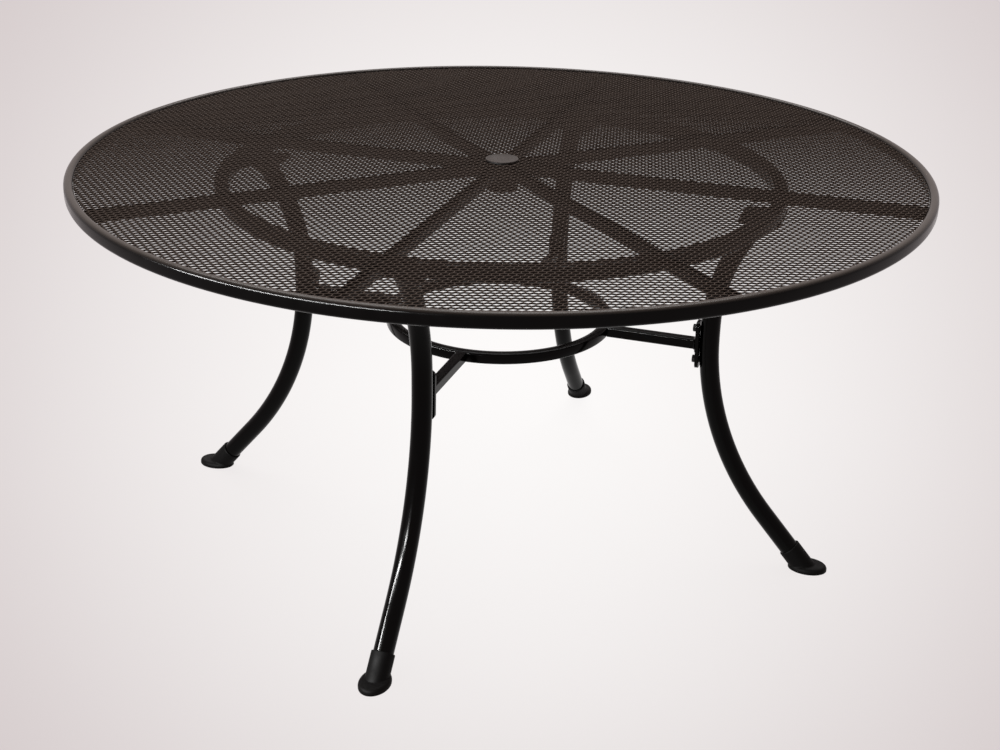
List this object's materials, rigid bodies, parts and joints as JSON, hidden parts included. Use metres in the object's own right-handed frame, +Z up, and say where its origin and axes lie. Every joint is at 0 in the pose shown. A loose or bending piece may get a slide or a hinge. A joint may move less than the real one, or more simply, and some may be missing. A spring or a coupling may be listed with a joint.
{
  "type": "round patio table",
  "caption": "Round outdoor dining table with an expanded-metal top in a tube rim, curved tube legs joined by a ring stretcher, and an umbrella hole closed by a lift-out plug.",
  "frame": {"origin": "on the floor at the table's centre, under the umbrella hole", "axes": "+Z up; the four legs stand on the -Y (front), +X (right), +Y (back) and -X (left) axes"},
  "size_m": [1.5236, 1.5236, 0.724],
  "materials": {
    "frame_paint": "smooth dark bronze-brown powder coat, satin, slightly glossy on the tubes",
    "mesh_paint": "brown powder coat over expanded steel sheet, satin",
    "plug_plastic": "grey-brown moulded plastic with a fine grain",
    "boot_rubber": "black moulded rubber, matt",
    "fastener_steel": "dark plated steel"
  },
  "bodies": {
    "table": {"rim_frame": "frame_paint", "support_ring": "frame_paint", "umbrella_sleeve": "frame_paint", "stretcher_hoop": "frame_paint", "mesh_panel": "mesh_paint", "stretcher_bolts": "fastener_steel", "stretcher_washers": "fastener_steel", "leg_inserts": "fastener_steel", "top_bolts": "fastener_steel", "top_washers": "fastener_steel", "ring_inserts": "fastener_steel", "spoke_front": "frame_paint", "spoke_front_right": "frame_paint", "spoke_right": "frame_paint", "spoke_back_right": "frame_paint", "spoke_back": "frame_paint", "spoke_back_left": "frame_paint", "spoke_left": "frame_paint", "spoke_front_left": "frame_paint", "leg_front": "frame_paint", "leg_top_plate_front": "frame_paint", "stretcher_arm_front": "frame_paint", "arm_plate_front": "frame_paint", "boot_front": "boot_rubber", "leg_right": "frame_paint", "leg_top_plate_right": "frame_paint", "stretcher_arm_right": "frame_paint", "arm_plate_right": "frame_paint", "boot_right": "boot_rubber", "leg_back": "frame_paint", "leg_top_plate_back": "frame_paint", "stretcher_arm_back": "frame_paint", "arm_plate_back": "frame_paint", "boot_back": "boot_rubber", "leg_left": "frame_paint", "leg_top_plate_left": "frame_paint", "stretcher_arm_left": "frame_paint", "arm_plate_left": "frame_paint", "boot_left": "boot_rubber"},
    "plug": {"umbrella_plug": "plug_plastic"}
  },
  "joints": [
    {"name": "plug_lift", "type": "slide", "parent": "table", "child": "plug", "axis": [0, 0, 1], "range_m": [0, 0.1]}
  ]
}
